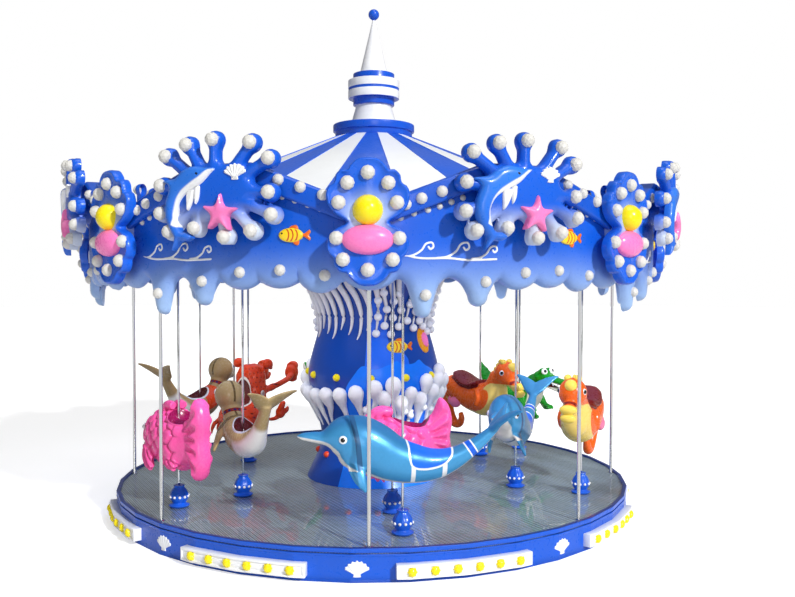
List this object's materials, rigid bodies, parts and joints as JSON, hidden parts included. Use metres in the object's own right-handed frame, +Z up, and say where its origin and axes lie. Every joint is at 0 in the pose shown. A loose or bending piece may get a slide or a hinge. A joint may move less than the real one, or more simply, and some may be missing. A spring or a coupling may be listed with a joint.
{
  "type": "ocean carousel",
  "caption": "Round ride with a turning deck, poles with sea-animal seats that rise and fall, a vase-shaped column, a scalloped canopy and a fixed skirt of light boxes.",
  "frame": {"origin": "on the ground under the centre of the turning axis", "axes": "+Z up along the turning axis, -Y towards the front shell of the canopy, +X to the right of it"},
  "size_m": [6.6044, 6.6044, 5.484],
  "materials": {
    "base_steel": "satin",
    "deck_plate": "ribbed",
    "column_paint": "gloss",
    "canopy_paint": "satin",
    "roof_skin": "blue and white stripes",
    "spire_paint": "gloss white with blue rings",
    "skirt_paint": "gloss",
    "polished_steel": "polished",
    "frieze_paint": "gloss, fading to pale blue at the drips",
    "blue_dolphin_paint": "gloss",
    "tan_dolphin_paint": "gloss",
    "seahorse_paint": "gloss",
    "crocodile_paint": "gloss",
    "crab_paint": "gloss",
    "pink_fish_paint": "gloss"
  },
  "bodies": {
    "base": {"base_frame": "base_steel", "skirt_1": "skirt_paint", "skirt_2": "skirt_paint", "skirt_3": "skirt_paint"},
    "rotor": {"deck": "deck_plate", "post_1": "polished_steel", "post_2": "polished_steel", "post_3": "polished_steel", "post_4": "polished_steel", "post_5": "polished_steel", "post_6": "polished_steel", "post_7": "polished_steel", "post_8": "polished_steel", "column": "column_paint", "canopy_frame": "canopy_paint", "roof": "roof_skin", "spire": "spire_paint", "frieze_1": "frieze_paint", "frieze_2": "frieze_paint", "frieze_3": "frieze_paint", "frieze_4": "frieze_paint", "frieze_5": "frieze_paint", "frieze_6": "frieze_paint", "frieze_7": "frieze_paint", "frieze_8": "frieze_paint"},
    "ride_dolphin_1": {"dolphin_1": "blue_dolphin_paint", "pole_dolphin_1": "polished_steel"},
    "ride_seahorse_1": {"seahorse_1": "seahorse_paint", "pole_seahorse_1": "polished_steel"},
    "ride_crocodile_1": {"crocodile_1": "crocodile_paint", "pole_crocodile_1": "polished_steel"},
    "ride_crab_1": {"crab_1": "crab_paint", "pole_crab_1": "polished_steel"},
    "ride_dolphin_2": {"dolphin_2": "tan_dolphin_paint", "pole_dolphin_2": "polished_steel"},
    "ride_fish_1": {"fish_1": "pink_fish_paint", "pole_fish_1": "polished_steel"},
    "ride_fish_2": {"fish_2": "pink_fish_paint", "pole_fish_2": "polished_steel"},
    "ride_dolphin_3": {"dolphin_3": "blue_dolphin_paint", "pole_dolphin_3": "polished_steel"},
    "ride_seahorse_2": {"seahorse_2": "seahorse_paint", "pole_seahorse_2": "polished_steel"},
    "ride_crocodile_2": {"crocodile_2": "crocodile_paint", "pole_crocodile_2": "polished_steel"},
    "ride_crab_2": {"crab_2": "crab_paint", "pole_crab_2": "polished_steel"},
    "ride_dolphin_4": {"dolphin_4": "tan_dolphin_paint", "pole_dolphin_4": "polished_steel"}
  },
  "joints": [
    {"name": "turn", "type": "hinge", "parent": "base", "child": "rotor", "pos_m": [0, 0, 0], "axis": [0, 0, 1], "continuous": true},
    {"name": "lift_dolphin_1", "type": "slide", "parent": "rotor", "child": "ride_dolphin_1", "axis": [0, 0, 1], "range_m": [-0.1, 0.2]},
    {"name": "lift_seahorse_1", "type": "slide", "parent": "rotor", "child": "ride_seahorse_1", "axis": [0, 0, 1], "range_m": [-0.15, 0.15]},
    {"name": "lift_crocodile_1", "type": "slide", "parent": "rotor", "child": "ride_crocodile_1", "axis": [0, 0, 1], "range_m": [-0.09, 0.21]},
    {"name": "lift_crab_1", "type": "slide", "parent": "rotor", "child": "ride_crab_1", "axis": [0, 0, 1], "range_m": [-0.07, 0.23]},
    {"name": "lift_dolphin_2", "type": "slide", "parent": "rotor", "child": "ride_dolphin_2", "axis": [0, 0, 1], "range_m": [-0.23, 0.07]},
    {"name": "lift_fish_1", "type": "slide", "parent": "rotor", "child": "ride_fish_1", "axis": [0, 0, 1], "range_m": [-0.08, 0.22]},
    {"name": "lift_fish_2", "type": "slide", "parent": "rotor", "child": "ride_fish_2", "axis": [0, 0, 1], "range_m": [-0.06, 0.24]},
    {"name": "lift_dolphin_3", "type": "slide", "parent": "rotor", "child": "ride_dolphin_3", "axis": [0, 0, 1], "range_m": [-0.09, 0.21]},
    {"name": "lift_seahorse_2", "type": "slide", "parent": "rotor", "child": "ride_seahorse_2", "axis": [0, 0, 1], "range_m": [-0.11, 0.19]},
    {"name": "lift_crocodile_2", "type": "slide", "parent": "rotor", "child": "ride_crocodile_2", "axis": [0, 0, 1], "range_m": [-0.13, 0.17]},
    {"name": "lift_crab_2", "type": "slide", "parent": "rotor", "child": "ride_crab_2", "axis": [0, 0, 1], "range_m": [-0.07, 0.23]},
    {"name": "lift_dolphin_4", "type": "slide", "parent": "rotor", "child": "ride_dolphin_4", "axis": [0, 0, 1], "range_m": [-0.17, 0.13]}
  ]
}
